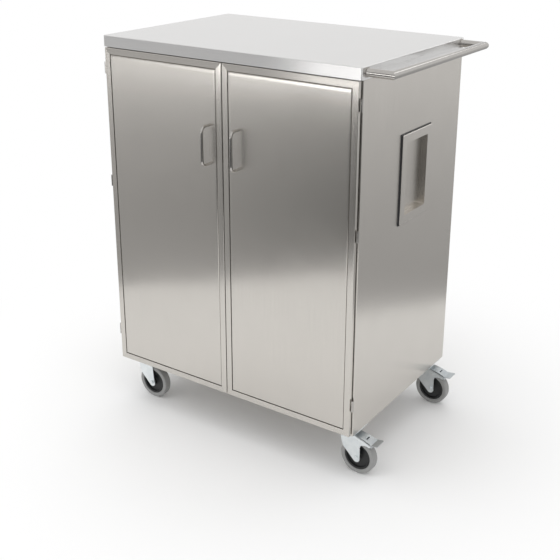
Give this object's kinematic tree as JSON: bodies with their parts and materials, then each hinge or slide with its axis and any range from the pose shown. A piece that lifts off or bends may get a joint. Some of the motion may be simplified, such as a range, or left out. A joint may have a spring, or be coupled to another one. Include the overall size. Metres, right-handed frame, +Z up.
{
  "type": "enclosed meal tray cart",
  "caption": "Enclosed stainless meal tray cart with two hinged doors, tray runners inside, a push handle at one end and swivel casters, two of them braked.",
  "frame": {"origin": "middle of the bounding box, on the floor under the wheels", "axes": "+Z up, -Y towards the doors, +X towards the end with the push handle"},
  "size_m": [1.0982, 0.7264, 1.365],
  "materials": {
    "cabinet_steel": "brushed stainless sheet",
    "worktop_steel": "brushed stainless sheet, grain along the length",
    "door_steel": "brushed stainless sheet, grain upright",
    "grip_steel": "brushed stainless sheet",
    "polished_steel": "polished stainless tube and rod",
    "hinge_steel": "turned stainless",
    "zinc_plate": "bright zinc plate",
    "fastener_steel": "bright zinc plate",
    "strike_steel": "bright zinc plate",
    "wheel_plastic": "black moulded plastic",
    "tyre_rubber": "grey rubber",
    "catch_plastic": "black moulded plastic"
  },
  "bodies": {
    "cabinet": {"back_panel": "cabinet_steel", "base_pan": "cabinet_steel", "caster_channels": "cabinet_steel", "caster_nuts": "fastener_steel", "caster_plates": "zinc_plate", "centre_partition": "cabinet_steel", "centre_post": "cabinet_steel", "door_catches": "catch_plastic", "front_header": "cabinet_steel", "hinge_pintles": "hinge_steel", "left_centre_runners": "cabinet_steel", "left_side_panel": "cabinet_steel", "left_wall_runners": "cabinet_steel", "push_handle": "polished_steel", "push_handle_collars": "polished_steel", "right_centre_runners": "cabinet_steel", "right_side_panel": "cabinet_steel", "right_wall_runners": "cabinet_steel", "side_grip": "grip_steel", "wall_uprights": "cabinet_steel", "worktop": "worktop_steel", "worktop_stiffeners": "cabinet_steel"},
    "left_door": {"left_door_handle": "polished_steel", "left_door_handle_screws": "fastener_steel", "left_door_hinge_barrels": "hinge_steel", "left_door_liner": "cabinet_steel", "left_door_panel": "door_steel", "left_door_rim": "door_steel", "left_door_strike_plates": "strike_steel"},
    "right_door": {"right_door_handle": "polished_steel", "right_door_handle_screws": "fastener_steel", "right_door_hinge_barrels": "hinge_steel", "right_door_liner": "cabinet_steel", "right_door_panel": "door_steel", "right_door_rim": "door_steel", "right_door_strike_plates": "strike_steel"},
    "front_left_swivel": {"front_left_axle": "fastener_steel", "front_left_fork": "zinc_plate"},
    "front_left_wheel": {"front_left_tyre": "tyre_rubber", "front_left_wheel_centre": "wheel_plastic"},
    "front_right_swivel": {"front_right_axle": "fastener_steel", "front_right_fork": "zinc_plate", "front_right_pedal_pins": "fastener_steel"},
    "front_right_wheel": {"front_right_tyre": "tyre_rubber", "front_right_wheel_centre": "wheel_plastic"},
    "rear_left_swivel": {"rear_left_axle": "fastener_steel", "rear_left_fork": "zinc_plate"},
    "rear_left_wheel": {"rear_left_tyre": "tyre_rubber", "rear_left_wheel_centre": "wheel_plastic"},
    "rear_right_swivel": {"rear_right_axle": "fastener_steel", "rear_right_fork": "zinc_plate", "rear_right_pedal_pins": "fastener_steel"},
    "rear_right_wheel": {"rear_right_tyre": "tyre_rubber", "rear_right_wheel_centre": "wheel_plastic"},
    "front_right_pedal": {"front_right_brake_pedal": "zinc_plate"},
    "rear_right_pedal": {"rear_right_brake_pedal": "zinc_plate"}
  },
  "joints": [
    {"name": "left_door_hinge", "type": "hinge", "parent": "cabinet", "child": "left_door", "pos_m": [-0.5441, -0.31725, 0.856], "axis": [0, 0, -1], "range_deg": [0, 200]},
    {"name": "right_door_hinge", "type": "hinge", "parent": "cabinet", "child": "right_door", "pos_m": [0.4519, -0.31725, 0.856], "axis": [0, 0, 1], "range_deg": [0, 200]},
    {"name": "front_left_caster_swivel", "type": "hinge", "parent": "cabinet", "child": "front_left_swivel", "pos_m": [-0.4921, -0.24925, 0.15], "axis": [0, 0, 1], "continuous": true},
    {"name": "front_right_caster_swivel", "type": "hinge", "parent": "cabinet", "child": "front_right_swivel", "pos_m": [0.3999, -0.24925, 0.15], "axis": [0, 0, 1], "continuous": true},
    {"name": "rear_left_caster_swivel", "type": "hinge", "parent": "cabinet", "child": "rear_left_swivel", "pos_m": [-0.4921, 0.30125, 0.15], "axis": [0, 0, 1], "continuous": true},
    {"name": "rear_right_caster_swivel", "type": "hinge", "parent": "cabinet", "child": "rear_right_swivel", "pos_m": [0.3999, 0.30125, 0.15], "axis": [0, 0, 1], "continuous": true},
    {"name": "front_left_wheel_spin", "type": "hinge", "parent": "front_left_swivel", "child": "front_left_wheel", "pos_m": [-0.4471, -0.24925, 0.0625], "axis": [0, 1, 0], "continuous": true},
    {"name": "front_right_wheel_spin", "type": "hinge", "parent": "front_right_swivel", "child": "front_right_wheel", "pos_m": [0.4449, -0.24925, 0.0625], "axis": [0, 1, 0], "continuous": true},
    {"name": "rear_left_wheel_spin", "type": "hinge", "parent": "rear_left_swivel", "child": "rear_left_wheel", "pos_m": [-0.4471, 0.30125, 0.0625], "axis": [0, 1, 0], "continuous": true},
    {"name": "rear_right_wheel_spin", "type": "hinge", "parent": "rear_right_swivel", "child": "rear_right_wheel", "pos_m": [0.4449, 0.30125, 0.0625], "axis": [0, 1, 0], "continuous": true},
    {"name": "front_right_brake", "type": "hinge", "parent": "front_right_swivel", "child": "front_right_pedal", "pos_m": [0.4489, -0.24925, 0.1245], "axis": [0, 1, 0], "range_deg": [0, 5]},
    {"name": "rear_right_brake", "type": "hinge", "parent": "rear_right_swivel", "child": "rear_right_pedal", "pos_m": [0.4489, 0.30125, 0.1245], "axis": [0, 1, 0], "range_deg": [0, 5]}
  ]
}
